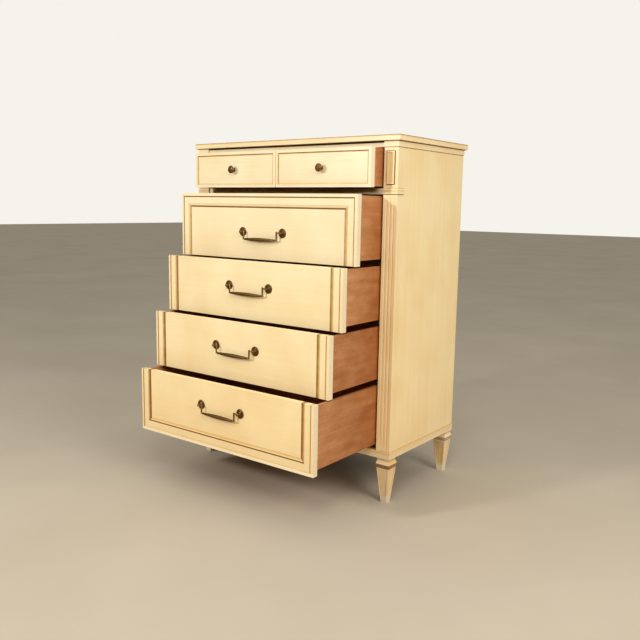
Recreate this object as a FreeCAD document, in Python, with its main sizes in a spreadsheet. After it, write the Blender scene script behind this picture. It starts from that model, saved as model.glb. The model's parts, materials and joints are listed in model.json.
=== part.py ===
"""Highboy: a tall chest of five drawers on square tapered legs, drawers drawn out in steps.

Lengths are millimetres. Every length is written once in SIZES, kept in the sheet Dims, and each
sub-part is bound to that sheet. While the pieces are laid out, x runs across the chest from its
middle, y runs back from the face of the front posts and z runs up from the floor. The finished
part is moved along y so that the middle of its footprint, drawers out, lies at the origin.
The front faces -Y.
"""

import FreeCAD, Part
import os
from types import SimpleNamespace

import Sketcher

SIZES = {
    # Case
    "case_width": 946.0,
    "case_depth": 477.0,
    "side_thickness": 19.0,
    "post_width": 55.0,
    "post_depth": 40.0,
    "back_thickness": 6.0,
    "top_thickness": 20.5,
    "top_overhang": 11.0,
    "top_edge_radius": 2.5,
    "cornice_height": 20.5,
    "cornice_proud": 3.0,
    "cornice_edge_radius": 2.0,
    "rail_recess": 4.0,
    "rail_depth": 36.0,
    "top_rail_gap": 5.0,
    "mid_rail_height": 20.5,
    # Flutes, tablet and band of the front posts
    "flute_width": 7.0,
    "flute_pitch": 14.0,
    "flute_depth": 1.1,
    "flute_margin": 11.0,
    "tablet_width": 32.0,
    "tablet_margin": 12.0,
    "tablet_thickness": 3.2,
    "tablet_border": 6.5,
    "tablet_field_depth": 1.6,
    "tablet_corner_radius": 2.5,
    "band_proud": 2.0,
    "bead_proud": 1.4,
    "bead_height": 8.8,
    "bead_edge_radius": 1.2,
    # Base frame and legs
    "base_height": 25.5,
    "base_proud": 2.0,
    "base_width": 50.0,
    "base_bead_height": 6.0,
    "base_bead_proud": 1.2,
    "base_bead_round": 1.1,
    "leg_height": 168.5,
    "leg_inset": 26.6,
    "leg_neck_width": 44.6,
    "leg_top_width": 52.4,
    "leg_neck_drop": 8.0,
    "leg_collar_width": 54.6,
    "leg_collar_drop": 21.5,
    "leg_collar_edge": 1.5,
    "leg_band_height": 14.5,
    "leg_shaft_width": 50.4,
    "leg_foot_width": 25.6,
    "leg_foot_height": 5.0,
    "leg_foot_taper": 2.0,
    "leg_panel_depth": 1.4,
    "leg_panel_border": 6.5,
    "leg_panel_drop": 5.0,
    "leg_panel_rise": 26.0,
    # Dust frames, on which the drawers run
    "frame_thickness": 19.5,
    "frame_rail_width": 60.0,
    "frame_runner_width": 82.0,
    "frame_panel_thickness": 5.5,
    "guide_width": 40.0,
    "guide_height": 8.0,
    "running_gap": 0.3,
    # Drawer fronts
    "large_front_height": 237.5,
    "middle_front_height": 210.5,
    "small_front_height": 133.0,
    "front_gap": 1.5,
    "front_side_gap": 2.5,
    "front_thickness": 22.0,
    "closed_proud": 2.0,
    "frame_moulding_width": 39.0,
    "bottom_moulding_width": 40.5,
    "moulding_slope": 10.5,
    "moulding_wall": 1.5,
    "panel_recess": 3.7,
    "quirk_setback": 11.8,
    "quirk_width": 2.4,
    "quirk_depth": 1.6,
    "small_moulding_width": 11.5,
    "small_moulding_slope": 4.0,
    "small_moulding_wall": 0.8,
    "small_panel_recess": 2.4,
    "seam_width": 2.4,
    "seam_depth": 2.5,
    # Drawer boxes
    "box_setback": 4.5,
    "side_rise": 18.3,
    "small_side_rise": 4.0,
    "side_drop": 4.5,
    "small_side_drop": 1.5,
    "box_side_thickness": 12.0,
    "box_back_thickness": 12.0,
    "box_back_drop": 6.0,
    "box_rear_gap": 9.0,
    "bottom_thickness": 5.0,
    "bottom_rise": 10.0,
    "bottom_groove_depth": 4.0,
    "cleat_width": 12.0,
    "cleat_gap": 1.5,
    "cleat_lift": 0.7,
    # How far each drawer is drawn out at rest
    "drawer_1_open": 73.6,
    "drawer_2_open": 147.2,
    "drawer_3_open": 219.9,
    "drawer_4_open": 287.9,
    "drawer_5_open": 363.3,
    # Knobs of the top drawer
    "knob_rose_radius": 7.5,
    "knob_rose_height": 2.0,
    "knob_neck_radius": 4.4,
    "knob_head_radius": 14.6,
    "knob_head_thickness": 10.0,
    "knob_stand": 18.0,
    "knob_button_radius": 5.0,
    "knob_button_height": 1.2,
    # Bail pulls of the other drawers
    "upper_pull_rise": 98.5,
    "middle_pull_rise": 119.0,
    "lower_pull_rise": 151.0,
    "pull_spacing": 189.0,
    "pull_stand": 15.0,
    "rosette_radius": 17.2,
    "rosette_rim_height": 1.6,
    "rosette_dome_radius": 13.0,
    "rosette_dome_height": 2.0,
    "stem_radius": 4.2,
    "eye_radius": 5.0,
    "pin_radius": 2.1,
    "pin_clearance": 0.3,
    "pin_depth": 3.0,
    "bail_wire_radius": 2.5,
    "bail_arm_inset": 15.5,
    "bail_drop": 26.0,
    "bail_shoulder_rise": 4.5,
    "bail_shoulder_gap": 1.6,
    "grip_end_radius": 3.6,
    "grip_middle_radius": 6.8,
    "grip_neck_length": 8.0,
    "grip_collar_radius": 4.4,
    "grip_collar_length": 2.4,
    # Spare length that a cutting tool runs past the face it cuts
    "overrun": 6.0,
}

LARGE = "large_front_height"
MIDDLE = "middle_front_height"
SMALL = "small_front_height"
SIGNS = {"left": -1, "right": 1}
FLUTE_COUNT = 3
LEG_FACES = 4
FULL_TURN = 360.0
# Places nearer than this count as one
MATCH = 0.0001

ACROSS = FreeCAD.Vector(1, 0, 0)
BACK = FreeCAD.Vector(0, 1, 0)
UP = FreeCAD.Vector(0, 0, 1)


class Size:
    """A length that carries its value and the sheet expression that gives it."""

    def __init__(self, value, text):
        self.value = value
        self.text = text

    def __add__(self, other):
        return joined(self, "+", other)

    def __radd__(self, other):
        return joined(other, "+", self)

    def __sub__(self, other):
        return joined(self, "-", other)

    def __rsub__(self, other):
        return joined(other, "-", self)

    def __mul__(self, other):
        return joined(self, "*", other)

    def __rmul__(self, other):
        return joined(other, "*", self)

    def __truediv__(self, other):
        return joined(self, "/", other)

    def __neg__(self):
        return joined(0, "-", self)


def sized(number):
    """Any number or Size as a Size."""
    if isinstance(number, Size):
        return number
    return Size(float(number), repr(float(number)))


def joined(first, sign, second):
    """The Size that one sum, difference, product or quotient gives."""
    a = sized(first)
    b = sized(second)
    results = {
        "+": lambda: a.value + b.value,
        "-": lambda: a.value - b.value,
        "*": lambda: a.value * b.value,
        "/": lambda: a.value / b.value,
    }
    return Size(results[sign](), f"({a.text} {sign} {b.text})")


doc = FreeCAD.newDocument("highboy")
dims = doc.addObject("Spreadsheet::Sheet", "Dims")
for row, (name, value) in enumerate(SIZES.items(), start=1):
    dims.set(f"A{row}", name)
    dims.set(f"B{row}", str(value))
    dims.setAlias(f"B{row}", name)
doc.recompute()

S = SimpleNamespace(**{name: Size(value, f"Dims.{name}") for name, value in SIZES.items()})
nodes = []

# Places that several sub-parts share, in the chest's own layout
half_case = S.case_width / 2
post_inner = half_case - S.post_width
wall_inner = half_case - S.side_thickness
base_top = S.leg_height + S.base_height
back_face = S.case_depth - S.back_thickness
front_face = -S.closed_proud
front_back = front_face + S.front_thickness
half_front = post_inner - S.front_side_gap
box_half = half_front - S.box_setback
box_inner = box_half - S.box_side_thickness
box_end = back_face - S.box_rear_gap
frame_front = front_back + S.running_gap

OPENINGS = (S.drawer_1_open, S.drawer_2_open, S.drawer_3_open, S.drawer_4_open, S.drawer_5_open)
HEIGHTS = (SMALL, LARGE, MIDDLE, MIDDLE, LARGE)
PULL_RISES = {
    2: S.upper_pull_rise,
    3: S.middle_pull_rise,
    4: S.middle_pull_rise,
    5: S.lower_pull_rise,
}


def front_levels():
    """Lowest and highest level of each drawer front, the top drawer first."""
    levels = []
    level = base_top + S.front_gap
    for height in reversed(HEIGHTS[1:]):
        top = level + getattr(S, height)
        levels.insert(0, (level, top))
        level = top + S.front_gap
    rail_bottom = level
    level = rail_bottom + S.mid_rail_height + S.front_gap
    levels.insert(0, (level, level + getattr(S, SMALL)))
    return levels, rail_bottom


LEVELS, mid_rail_bottom = front_levels()
mid_rail_top = mid_rail_bottom + S.mid_rail_height
case_top = LEVELS[0][1] + S.front_gap
cornice_top = case_top + S.cornice_height

# The farthest point forward is the eye of the lowest drawer's pull, the farthest back the top's edge
foremost = front_face - S.drawer_5_open + S.panel_recess - S.pull_stand - S.eye_radius
middle_y = (S.case_depth + S.top_overhang + foremost) / 2


def bind(thing, **lengths):
    """Binds properties to sheet expressions; two underscores stand for a dot."""
    for key, size in lengths.items():
        thing.setExpression(key.replace("__", "."), sized(size).text)


def place(thing, x, y, z, turn=None):
    """Puts a finished solid, laid out in chest places, where the part's frame has it."""
    if turn is not None:
        thing.Placement = FreeCAD.Placement(FreeCAD.Vector(), turn)
    bind(thing, Placement__Base__x=x, Placement__Base__y=y - middle_y, Placement__Base__z=z)
    return thing


def keep(thing, label):
    """Names a finished sub-part and lists it for export."""
    thing.Label = label
    nodes.append(thing)
    return thing


def board(name, x, y, z):
    """A squared board between two places along each axis."""
    box = doc.addObject("Part::Box", name)
    bind(box, Length=x[1] - x[0], Width=y[1] - y[0], Height=z[1] - z[0])
    return place(box, x[0], y[0], z[0])


def rod(name, axis, radius, length, x, y, z):
    """A cylinder that starts at a place and runs along an axis."""
    cylinder = doc.addObject("Part::Cylinder", name)
    bind(cylinder, Radius=radius, Height=length)
    return place(cylinder, x, y, z, FreeCAD.Rotation(UP, axis))


def taper(name, axis, start, end, length, x, y, z):
    """A cone frustum that starts at a place and runs along an axis."""
    cone = doc.addObject("Part::Cone", name)
    bind(cone, Radius1=start, Radius2=end, Height=length)
    return place(cone, x, y, z, FreeCAD.Rotation(UP, axis))


def ball(name, radius, x, y, z):
    """A sphere about a place."""
    sphere = doc.addObject("Part::Sphere", name)
    bind(sphere, Radius=radius)
    return place(sphere, x, y, z)


def fused(name, pieces):
    """One solid from pieces that meet."""
    union = doc.addObject("Part::MultiFuse", name)
    union.Shapes = pieces
    union.Refine = True
    return union


def cut(name, base, tool):
    """A solid less its tool."""
    result = doc.addObject("Part::Cut", name)
    result.Base = base
    result.Tool = tool
    return result


def mirrored(name, source):
    """The same piece on the other side of the chest."""
    twin = doc.addObject("Part::Mirroring", name)
    twin.Source = source
    twin.Base = FreeCAD.Vector()
    twin.Normal = ACROSS
    return twin


def pair(name, source):
    """A piece and its twin as two separate solids."""
    both = doc.addObject("Part::Compound", name)
    both.Links = [source, mirrored(f"{name}_twin", source)]
    return both


def new_body(name, y=0):
    """A PartDesign body whose sketches are drawn in chest places."""
    body = doc.addObject("PartDesign::Body", name)
    return place(body, sized(0), sized(y), sized(0))


def sketch_on(body, name, role, offset):
    """A sketch on one of the body's origin planes, moved along that plane's normal."""
    plane = next(item for item in body.Origin.OriginFeatures if item.Role == role)
    sketch = body.newObject("Sketcher::SketchObject", name)
    sketch.AttachmentSupport = (plane, "")
    sketch.MapMode = "FlatFace"
    bind(sketch, AttachmentOffset__Base__z=offset)
    return sketch


def outline(sketch, points):
    """A closed outline of straight lines with every corner tied to the sheet."""
    first = sketch.GeometryCount
    corners = [(sized(across), sized(along)) for across, along in points]
    count = len(corners)
    for index, (across, along) in enumerate(corners):
        following = corners[(index + 1) % count]
        start = FreeCAD.Vector(across.value, along.value, 0)
        end = FreeCAD.Vector(following[0].value, following[1].value, 0)
        sketch.addGeometry(Part.LineSegment(start, end))
    for index in range(count):
        line = first + index
        following = first + (index + 1) % count
        sketch.addConstraint(Sketcher.Constraint("Coincident", line, 2, following, 1))
    for index, (across, along) in enumerate(corners):
        line = first + index
        for kind, letter, size in (("DistanceX", "x", across), ("DistanceY", "y", along)):
            label = f"corner_{line}_{letter}"
            number = sketch.addConstraint(Sketcher.Constraint(kind, -1, 1, line, 1, size.value))
            sketch.renameConstraint(number, label)
            sketch.setExpression(f"Constraints.{label}", size.text)


def rectangle(sketch, x, y):
    """A closed rectangle between two places along each of the sketch's axes."""
    outline(sketch, [(x[0], y[0]), (x[1], y[0]), (x[1], y[1]), (x[0], y[1])])


def pad(body, name, sketch, length):
    """Material added from a sketch."""
    feature = body.newObject("PartDesign::Pad", name)
    feature.Profile = sketch
    bind(feature, Length=length)
    doc.recompute()
    return feature


def pocket(body, name, sketch, depth, reverse=False):
    """Material cut from a sketch, which has to take something away."""
    before = body.Shape.Volume
    feature = body.newObject("PartDesign::Pocket", name)
    feature.Profile = sketch
    feature.Reversed = reverse
    bind(feature, Length=depth)
    doc.recompute()
    if not body.Shape.Volume < before:
        raise ValueError(f"{name} cuts nothing")
    return feature


def loft(body, name, sections, subtract=False):
    """A straight-sided solid through sections, added or cut."""
    kind = "PartDesign::SubtractiveLoft" if subtract else "PartDesign::AdditiveLoft"
    feature = body.newObject(kind, name)
    feature.Profile = sections[0]
    feature.Sections = sections[1:]
    feature.Ruled = True
    doc.recompute()
    return feature


def rounded(body, name, base, radius, chosen):
    """Edges of a feature rounded, chosen by a test on their bounds."""
    names = []
    for number, edge in enumerate(base.Shape.Edges, start=1):
        box = edge.BoundBox
        if chosen(box, base.Shape.BoundBox):
            names.append(f"Edge{number}")
    feature = body.newObject("PartDesign::Fillet", name)
    feature.Base = (base, names)
    bind(feature, Radius=radius)
    doc.recompute()
    return feature


def near(first, second):
    """Whether two places are the same."""
    return abs(first - second) < MATCH


def both_sides(x):
    """The same places on the left and on the right."""
    return (("left", (-x[1], -x[0])), ("right", (x[0], x[1])))


def outer_edge(side, edge, whole):
    """Whether an edge runs along a piece's front or along its outer side."""
    outside = whole.XMin if side == "left" else whole.XMax
    along_side = near(edge.XMin, outside) and near(edge.XMax, outside)
    return near(edge.YMax, whole.YMin) or along_side


def top_board():
    """Top with softened edges, overhanging the case all round."""
    body = new_body("top_board")
    sketch = sketch_on(body, "top_board_plan", "XY_Plane", cornice_top)
    half = half_case + S.top_overhang
    rectangle(sketch, (-half, half), (-S.top_overhang, S.case_depth + S.top_overhang))
    slab = pad(body, "top_board_pad", sketch, S.top_thickness)

    def rim(edge, whole):
        return near(edge.ZMin, edge.ZMax)

    body.Tip = rounded(body, "top_board_rim", slab, S.top_edge_radius, rim)
    keep(body, "top_board")


def cornices():
    """Strips under the top along each side, with a return over the front post."""
    outer = half_case + S.cornice_proud
    points = [
        (post_inner, -S.cornice_proud),
        (outer, -S.cornice_proud),
        (outer, S.case_depth),
        (wall_inner, S.case_depth),
        (wall_inner, S.post_depth),
        (post_inner, S.post_depth),
    ]
    for side, sign in SIGNS.items():
        body = new_body(f"cornice_{side}")
        plan = sketch_on(body, f"cornice_{side}_plan", "XY_Plane", case_top)
        outline(plan, [(sign * x, y) for x, y in points])
        strip = pad(body, f"cornice_{side}_pad", plan, S.cornice_height)

        def lower_outer(edge, whole):
            return near(edge.ZMax, whole.ZMin) and outer_edge(side, edge, whole)

        body.Tip = rounded(
            body, f"cornice_{side}_round", strip, S.cornice_edge_radius, lower_outer
        )
        keep(body, f"cornice_{side}")


def case_boards():
    """Side panels, back panel and the two front rails."""
    for side, x in both_sides((wall_inner, half_case)):
        panel = board(
            f"side_panel_{side}", x, (S.post_depth, S.case_depth), (base_top, case_top)
        )
        keep(panel, f"side_panel_{side}")
    back = board(
        "back_panel", (-wall_inner, wall_inner), (back_face, S.case_depth), (base_top, cornice_top)
    )
    keep(back, "back_panel")
    rail_y = (S.rail_recess, S.rail_recess + S.rail_depth)
    top_rail = board(
        "top_rail", (-post_inner, post_inner), rail_y, (case_top, cornice_top - S.top_rail_gap)
    )
    keep(top_rail, "top_rail")
    mid_rail = board(
        "mid_rail", (-post_inner, post_inner), rail_y, (mid_rail_bottom, mid_rail_top)
    )
    keep(mid_rail, "mid_rail")


def front_posts():
    """Front posts with round-ended flutes from the base to the band."""
    # A circle through the flute's two arrises and its deepest line
    radius = S.flute_width * S.flute_width / (8 * S.flute_depth) + S.flute_depth / 2
    centre_y = S.flute_depth - radius
    low = base_top + S.flute_margin
    high = mid_rail_bottom - S.flute_margin
    half_width = S.flute_width / 2
    for side, x in both_sides((post_inner, half_case)):
        blank = board(f"front_post_{side}_blank", x, (sized(0), S.post_depth), (base_top, case_top))
        tools = []
        for index in range(FLUTE_COUNT):
            name = f"flute_{side}_{index + 1}"
            middle = (x[0] + x[1]) / 2 + S.flute_pitch * (index - (FLUTE_COUNT - 1) / 2)
            tools.append(
                rod(name, UP, radius, high - low - 2 * half_width, middle, centre_y, low + half_width)
            )
            tools.append(ball(f"{name}_foot", radius, middle, centre_y, low + half_width))
            tools.append(ball(f"{name}_head", radius, middle, centre_y, high - half_width))
        post = cut(f"front_post_{side}", blank, fused(f"flutes_{side}", tools))
        keep(post, f"front_post_{side}")


def tablets():
    """Moulded tablets applied to the upper blocks of the front posts."""
    middle = half_case - S.post_width / 2
    x = (middle - S.tablet_width / 2, middle + S.tablet_width / 2)
    z = (mid_rail_top + S.tablet_margin, case_top - S.tablet_margin)
    for side, across in both_sides(x):
        body = new_body(f"tablet_{side}")
        plan = sketch_on(body, f"tablet_{side}_outline", "XZ_Plane", sized(0))
        rectangle(plan, across, z)
        plate = pad(body, f"tablet_{side}_pad", plan, S.tablet_thickness)

        def corner(edge, whole):
            return edge.YLength > edge.XLength and edge.YLength > edge.ZLength

        shaped = rounded(body, f"tablet_{side}_corners", plate, S.tablet_corner_radius, corner)
        body.Tip = shaped
        field = sketch_on(body, f"tablet_{side}_field", "XZ_Plane", S.tablet_thickness)
        inner_x = (across[0] + S.tablet_border, across[1] - S.tablet_border)
        rectangle(field, inner_x, (z[0] + S.tablet_border, z[1] - S.tablet_border))
        body.Tip = pocket(body, f"tablet_{side}_sunk", field, S.tablet_field_depth)
        keep(body, f"tablet_{side}")


def wrap(body, name, side, proud, level, height):
    """One course of a moulding that wraps a front post's two outer faces."""
    sketch = sketch_on(body, name, "XY_Plane", level)
    outer = half_case + proud
    points = [
        (post_inner, -proud),
        (outer, -proud),
        (outer, S.post_depth),
        (half_case, S.post_depth),
        (half_case, sized(0)),
        (post_inner, sized(0)),
    ]
    outline(sketch, [(SIGNS[side] * x, y) for x, y in points])
    return pad(body, f"{name}_pad", sketch, height)


def bands():
    """Two-bead bands round the front posts, level with the rail under the top drawer."""
    for side in ("left", "right"):
        body = new_body(f"band_{side}")
        wrap(body, f"band_{side}_web", side, S.band_proud, mid_rail_bottom, S.mid_rail_height)
        proud = S.band_proud + S.bead_proud
        wrap(body, f"band_{side}_low", side, proud, mid_rail_bottom, S.bead_height)
        high = mid_rail_top - S.bead_height
        bead = wrap(body, f"band_{side}_high", side, proud, high, S.bead_height)

        def outer_long(edge, whole):
            return near(edge.ZMin, edge.ZMax) and outer_edge(side, edge, whole)

        body.Tip = rounded(body, f"band_{side}_round", bead, S.bead_edge_radius, outer_long)
        keep(body, f"band_{side}")


def base_course(body, name, side, proud, level, height):
    """One course of a base member, mitred where the front meets a side."""
    sketch = sketch_on(body, name, "XY_Plane", level)
    outer = half_case + proud
    inner = half_case - S.base_width
    if side == "front":
        outline(sketch, [
            (-outer, -proud), (outer, -proud), (inner, S.base_width), (-inner, S.base_width),
        ])
    else:
        points = [
            (outer, -proud), (outer, S.case_depth), (inner, S.case_depth), (inner, S.base_width),
        ]
        outline(sketch, [(SIGNS[side] * x, y) for x, y in points])
    return pad(body, f"{name}_pad", sketch, height)


def base_moulding():
    """Members under the case's front and sides, with a bead along their upper edges."""
    plain_height = S.base_height - S.base_bead_height
    bead_level = S.leg_height + plain_height
    bead_proud = S.base_proud + S.base_bead_proud
    for side in ("front", "left", "right"):
        name = f"base_{side}"
        body = new_body(name)
        base_course(body, f"{name}_plain", side, S.base_proud, S.leg_height, plain_height)
        bead = base_course(
            body, f"{name}_bead", side, bead_proud, bead_level, S.base_bead_height
        )

        def bead_edge(edge, whole):
            high = edge.ZMin > whole.ZMin and near(edge.ZMin, edge.ZMax)
            if side == "front":
                return high and near(edge.YMax, whole.YMin)
            outside = whole.XMin if side == "left" else whole.XMax
            return high and near(edge.XMin, outside) and near(edge.XMax, outside)

        body.Tip = rounded(body, f"{name}_round", bead, S.base_bead_round, bead_edge)
        keep(body, name)


def leg_square(body, name, width, level):
    """One square section of a leg."""
    sketch = sketch_on(body, name, "XY_Plane", level)
    rectangle(sketch, (-width / 2, width / 2), (-width / 2, width / 2))
    return sketch


def leg(label, x, y):
    """Square tapered leg: waisted neck, collar, sloping band and panelled shaft."""
    body = doc.addObject("PartDesign::Body", label)
    place(body, x, y, sized(0))
    neck = S.leg_height - S.leg_neck_drop
    collar = S.leg_height - S.leg_collar_drop
    shaft_top = collar - S.leg_collar_edge - S.leg_band_height
    levels = [
        (S.leg_foot_width - S.leg_foot_taper, sized(0)),
        (S.leg_foot_width, S.leg_foot_height),
        (S.leg_shaft_width, shaft_top),
        (S.leg_collar_width, collar - S.leg_collar_edge),
        (S.leg_collar_width, collar),
        (S.leg_neck_width, neck),
        (S.leg_top_width, S.leg_height),
    ]
    sections = [
        leg_square(body, f"{label}_section_{index}", width, level)
        for index, (width, level) in enumerate(levels)
    ]
    loft(body, f"{label}_form", sections)

    def width_at(level):
        rise = (level - S.leg_foot_height) / (shaft_top - S.leg_foot_height)
        return S.leg_foot_width + (S.leg_shaft_width - S.leg_foot_width) * rise

    cutters = []
    for end, level in (("low", S.leg_panel_rise), ("high", shaft_top - S.leg_panel_drop)):
        width = width_at(level)
        border_share = S.leg_panel_border / S.leg_shaft_width
        half = width / 2 - width * border_share
        sketch = sketch_on(body, f"{label}_panel_{end}", "XY_Plane", level)
        floor = -width / 2 + S.leg_panel_depth
        rectangle(sketch, (-half, half), (floor - S.leg_panel_depth - S.overrun, floor))
        cutters.append(sketch)
    panel = loft(body, f"{label}_panel", cutters, subtract=True)
    faces = body.newObject("PartDesign::PolarPattern", f"{label}_panels")
    faces.Originals = [panel]
    axis = next(item for item in body.Origin.OriginFeatures if item.Role == "Z_Axis")
    faces.Axis = (axis, [""])
    faces.Angle = FULL_TURN
    faces.Occurrences = LEG_FACES
    body.Tip = faces
    doc.recompute()
    keep(body, label)


def legs():
    """Four legs, one under each corner of the case."""
    reach = half_case - S.leg_inset
    for side, x in (("left", -reach), ("right", reach)):
        leg(f"leg_front_{side}", x, S.leg_inset)
        leg(f"leg_rear_{side}", x, S.case_depth - S.leg_inset)


def side_levels(number):
    """Lowest and highest level of a drawer's sides."""
    bottom, top = LEVELS[number - 1]
    if number == 1:
        return bottom + S.small_side_rise, top - S.small_side_drop
    return bottom + S.side_rise, top - S.side_drop


def dust_frame(number):
    """Frame under one drawer: rails and runners round a thin panel, with a centre guide."""
    name = f"dust_frame_{number}"
    top = side_levels(number)[0] - S.running_gap
    bottom = base_top if number == len(LEVELS) else top - S.frame_thickness
    z = (bottom, top)
    pieces = [
        board(f"{name}_main", (-wall_inner, wall_inner), (S.post_depth, back_face), z)
    ]
    front = S.post_depth
    if number > 1:
        front = frame_front
        pieces.append(
            board(f"{name}_front", (-post_inner, post_inner), (frame_front, S.post_depth), z)
        )
        blank = fused(f"{name}_blank", pieces)
    else:
        blank = pieces[0]
    middle = (bottom + top) / 2
    panel = (middle - S.frame_panel_thickness / 2, middle + S.frame_panel_thickness / 2)
    field_x = (-(wall_inner - S.frame_runner_width), wall_inner - S.frame_runner_width)
    field_y = (front + S.frame_rail_width, back_face - S.frame_rail_width)
    sunk = fused(
        f"{name}_fields",
        [
            board(f"{name}_field_over", field_x, field_y, (panel[1], top + S.overrun)),
            board(f"{name}_field_under", field_x, field_y, (bottom - S.overrun, panel[0])),
        ],
    )
    framed = cut(f"{name}_framed", blank, sunk)
    guide = board(
        f"{name}_guide", (-S.guide_width / 2, S.guide_width / 2),
        (front + S.frame_rail_width / 2, back_face), (panel[1], top + S.guide_height),
    )
    keep(fused(name, [framed, guide]), name)


def sunk_panel(body, name, x, outer_z, slopes, inner_z, wall, recess):
    """A panel sunk behind a low wall and sloping sides, cut from the face of a front."""
    face = sketch_on(body, f"{name}_outer", "XZ_Plane", -front_face)
    rectangle(face, x, outer_z)
    pocket(body, f"{name}_wall", face, wall)
    ledge = sketch_on(body, f"{name}_ledge", "XZ_Plane", -(front_face + wall))
    rectangle(ledge, x, outer_z)
    floor = sketch_on(body, f"{name}_inner", "XZ_Plane", -(front_face + recess))
    rectangle(floor, (x[0] + slopes, x[1] - slopes), inner_z)
    before = body.Shape.Volume
    loft(body, name, [ledge, floor], subtract=True)
    if not body.Shape.Volume < before:
        raise ValueError(f"{name} cuts nothing")


def groove_outline(sketch, low, high, has_top, has_bottom):
    """The thin groove just inside a front's edges, turning where the moulding turns."""
    outer = half_front - S.quirk_setback
    inner = outer - S.quirk_width
    past_low = low - S.overrun
    past_high = high + S.overrun
    if has_top:
        level = high - S.quirk_setback
        turn = level - S.quirk_width
        end = past_low
    elif has_bottom:
        level = low + S.quirk_setback
        turn = level + S.quirk_width
        end = past_high
    else:
        rectangle(sketch, (-outer, -inner), (past_low, past_high))
        rectangle(sketch, (inner, outer), (past_low, past_high))
        return
    outline(sketch, [
        (-outer, end), (-outer, level), (outer, level), (outer, end),
        (inner, end), (inner, turn), (-inner, turn), (-inner, end),
    ])


def bottom_levels(number):
    """Lowest and highest level of a drawer's bottom panel."""
    low = side_levels(number)[0] + S.bottom_rise
    return low, low + S.bottom_thickness


def drawer_front(number):
    """Front with its share of the framing moulding and a groove behind for the bottom."""
    name = f"drawer_{number}_front"
    low, high = LEVELS[number - 1]
    body = new_body(name, -OPENINGS[number - 1])
    plan = sketch_on(body, f"{name}_outline", "XZ_Plane", -front_back)
    rectangle(plan, (-half_front, half_front), (low, high))
    pad(body, f"{name}_pad", plan, S.front_thickness)
    if number == 1:
        seam = sketch_on(body, f"{name}_seam", "XZ_Plane", -front_face)
        half_seam = S.seam_width / 2
        rectangle(seam, (-half_seam, half_seam), (low - S.overrun, high + S.overrun))
        pocket(body, f"{name}_seam_cut", seam, S.seam_depth)
        width = S.small_moulding_width
        slope = S.small_moulding_slope
        for side, x in both_sides((half_seam + width, half_front - width)):
            outer_z = (low + width, high - width)
            inner_z = (low + width + slope, high - width - slope)
            sunk_panel(
                body, f"{name}_panel_{side}", x, outer_z, slope, inner_z,
                S.small_moulding_wall, S.small_panel_recess,
            )
    else:
        width = S.frame_moulding_width
        slope = S.moulding_slope
        x = (width - half_front, half_front - width)
        has_top = number == 2
        has_bottom = number == len(LEVELS)
        outer_top = high - width if has_top else high + S.overrun
        inner_top = outer_top - slope if has_top else outer_top
        outer_low = low + S.bottom_moulding_width if has_bottom else low - S.overrun
        inner_low = outer_low + slope if has_bottom else outer_low
        sunk_panel(
            body, f"{name}_panel", x, (outer_low, outer_top), slope, (inner_low, inner_top),
            S.moulding_wall, S.panel_recess,
        )
        quirk = sketch_on(body, f"{name}_quirk", "XZ_Plane", -front_face)
        groove_outline(quirk, low, high, has_top, has_bottom)
        pocket(body, f"{name}_quirk_cut", quirk, S.quirk_depth)
    groove = sketch_on(body, f"{name}_groove", "XZ_Plane", -front_back)
    reach = box_inner + S.bottom_groove_depth
    rectangle(groove, (-reach, reach), bottom_levels(number))
    body.Tip = pocket(body, f"{name}_groove_cut", groove, S.bottom_groove_depth, reverse=True)
    keep(body, name)


def drawer_box(number):
    """Sides grooved for the bottom, a back above it, and the bottom with its guide cleats."""
    low, high = side_levels(number)
    panel = bottom_levels(number)
    start = front_back - OPENINGS[number - 1]
    end = box_end - OPENINGS[number - 1]
    groove_x = box_inner + S.bottom_groove_depth
    name = f"drawer_{number}"
    for side, x in both_sides((box_inner, box_half)):
        blank = board(f"{name}_{side}_blank", x, (start, end), (low, high))
        groove = (box_inner - S.overrun, groove_x)
        if side == "left":
            groove = (-groove[1], -groove[0])
        tool = board(
            f"{name}_{side}_groove", groove, (start - S.overrun, end + S.overrun), panel
        )
        keep(cut(f"{name}_side_{side}", blank, tool), f"{name}_side_{side}")
    back = board(
        f"{name}_back", (-box_inner, box_inner), (end - S.box_back_thickness, end),
        (panel[1], high - S.box_back_drop),
    )
    keep(back, f"{name}_back")
    sheet = board(
        f"{name}_bottom_sheet", (-groove_x, groove_x), (start - S.bottom_groove_depth, end), panel
    )
    inner = S.guide_width / 2 + S.cleat_gap
    cleats = [
        board(f"{name}_cleat_{side}", x, (start, end), (low + S.cleat_lift, panel[0]))
        for side, x in both_sides((inner, inner + S.cleat_width))
    ]
    keep(fused(f"{name}_bottom", [sheet, *cleats]), f"{name}_bottom")


def knobs():
    """Two turned knobs on the top drawer, one in the middle of each panel."""
    low, high = LEVELS[0]
    x = (half_front + S.seam_width / 2) / 2
    z = (low + high) / 2
    seat = front_face + S.small_panel_recess - OPENINGS[0]
    rose = rod("knob_rose", -BACK, S.knob_rose_radius, S.knob_rose_height, x, seat, z)
    neck = rod("knob_neck", -BACK, S.knob_neck_radius, S.knob_stand, x, seat, z)
    head = doc.addObject("Part::Ellipsoid", "knob_head")
    bind(
        head, Radius1=S.knob_head_thickness / 2, Radius2=S.knob_head_radius,
        Radius3=S.knob_head_radius,
    )
    place(head, x, seat - S.knob_stand, z, FreeCAD.Rotation(UP, -BACK))
    reach = S.knob_stand + S.knob_head_thickness / 2 + S.knob_button_height / 2
    button = rod("knob_button", -BACK, S.knob_button_radius, reach, x, seat, z)
    knob = fused("knob", [rose, neck, head, button])
    keep(pair("drawer_1_knobs", knob), "drawer_1_knobs")


def pull_places(number):
    """Seat and hinge line of one drawer's pull, and its level."""
    seat = front_face + S.panel_recess - OPENINGS[number - 1]
    return seat, seat - S.pull_stand, LEVELS[number - 1][0] + PULL_RISES[number]


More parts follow.
